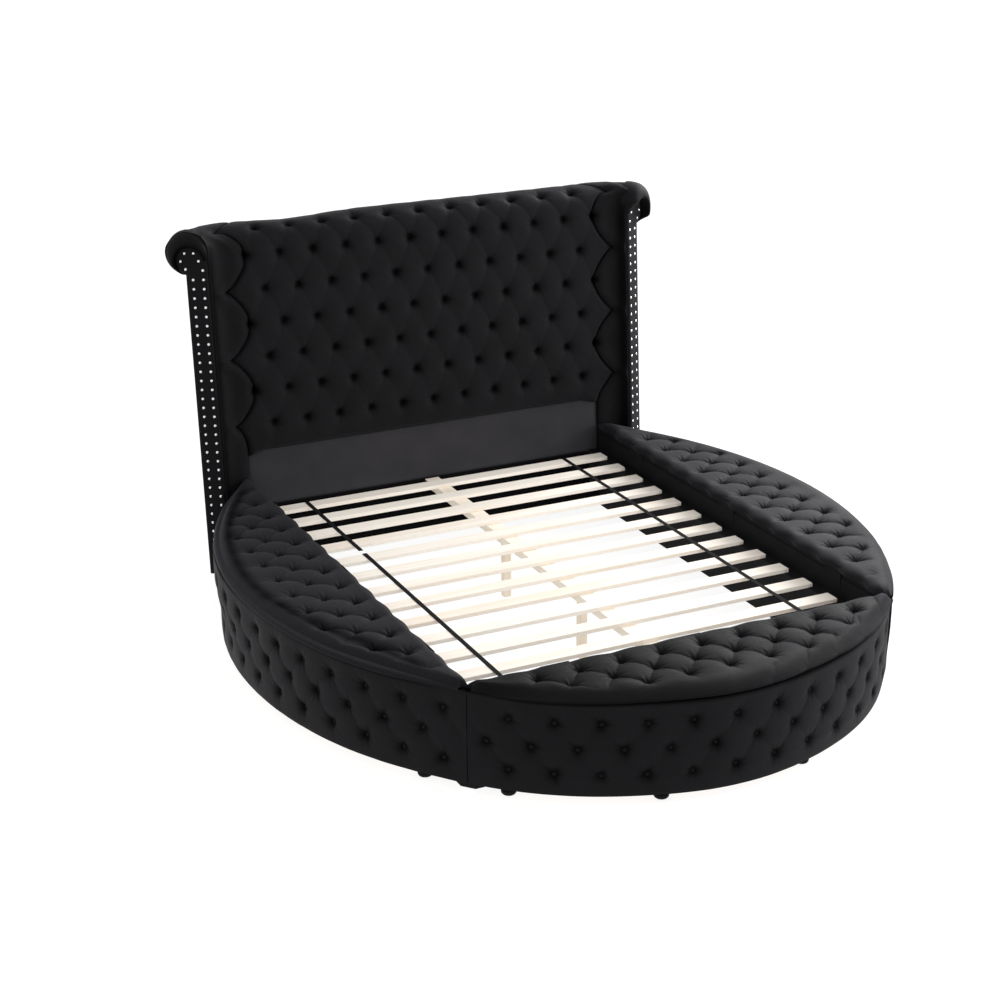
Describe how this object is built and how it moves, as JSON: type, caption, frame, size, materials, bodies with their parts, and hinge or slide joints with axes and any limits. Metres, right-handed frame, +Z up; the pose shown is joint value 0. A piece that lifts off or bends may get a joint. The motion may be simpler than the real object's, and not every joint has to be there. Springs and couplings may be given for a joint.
{
  "type": "round upholstered platform bed",
  "caption": "Round-plan upholstered platform bed: a slatted mattress well between curved storage benches with tufted hinged lids, and a winged, tufted headboard.",
  "frame": {"origin": "centre of the bed's footprint box, on the floor", "axes": "+X across the bed to the right as seen from its foot, +Y from foot to head, +Z up"},
  "size_m": [2.346, 2.6682, 1.3887],
  "materials": {
    "black_velvet": "short-pile velvet",
    "panel_velvet": "short-pile velvet",
    "plywood": "sanded plywood",
    "black_board": "black lined board",
    "pine": "planed pine",
    "steel": "zinc plated",
    "silver": "polished nickel",
    "black_steel": "black powder coat",
    "webbing": "woven webbing",
    "black_plastic": "moulded"
  },
  "bodies": {
    "base": {"headboard_board": "plywood", "crest_roll": "plywood", "tufted_head_pad": "black_velvet", "plain_lower_panel": "panel_velvet", "wing_pad_left": "black_velvet", "wing_pad_right": "black_velvet", "headboard_back": "black_velvet", "wing_facing_left": "black_velvet", "wing_facing_right": "black_velvet", "facing_nails": "silver", "headboard_glides": "black_plastic", "left_inner_wall": "black_board", "left_outer_wall": "plywood", "left_box_floor": "plywood", "left_tufted_cover": "black_velvet", "left_hinge_box_leaves": "black_steel", "right_inner_wall": "black_board", "right_outer_wall": "plywood", "right_box_floor": "plywood", "right_tufted_cover": "black_velvet", "right_hinge_box_leaves": "black_steel", "foot_inner_wall": "black_board", "foot_outer_wall": "plywood", "foot_box_floor": "plywood", "foot_tufted_cover": "black_velvet", "foot_hinge_box_leaves": "black_steel", "tip_blocks": "pine", "bench_feet": "black_plastic", "slat_cleats": "black_board", "corner_brackets": "steel", "hinge_pins": "silver", "slat_1": "pine", "slat_2": "pine", "slat_3": "pine", "slat_4": "pine", "slat_5": "pine", "slat_6": "pine", "slat_7": "pine", "slat_8": "pine", "slat_9": "pine", "slat_10": "pine", "slat_11": "pine", "slat_12": "pine", "slat_13": "pine", "strap_left_head": "webbing", "strap_left_foot": "webbing", "strap_right": "webbing", "middle_beam": "pine", "beam_legs": "pine", "beam_brackets": "black_steel"},
    "lid_left": {"left_lid_board": "black_board", "left_lid_cushion": "black_velvet", "left_hinge_lid_leaves": "black_steel"},
    "lid_right": {"right_lid_board": "black_board", "right_lid_cushion": "black_velvet", "right_hinge_lid_leaves": "black_steel"},
    "lid_foot": {"foot_lid_board": "black_board", "foot_lid_cushion": "black_velvet", "foot_hinge_lid_leaves": "black_steel"}
  },
  "joints": [
    {"name": "left_lid_hinge", "type": "hinge", "parent": "base", "child": "lid_left", "pos_m": [-0.78025, 0.06205, 0.372], "axis": [0, 1, 0], "range_deg": [0, 85]},
    {"name": "right_lid_hinge", "type": "hinge", "parent": "base", "child": "lid_right", "pos_m": [0.78025, 0.06205, 0.372], "axis": [0, -1, 0], "range_deg": [0, 85]},
    {"name": "foot_lid_hinge", "type": "hinge", "parent": "base", "child": "lid_foot", "pos_m": [0, -0.9437, 0.372], "axis": [-1, 0, 0], "range_deg": [0, 85]}
  ]
}
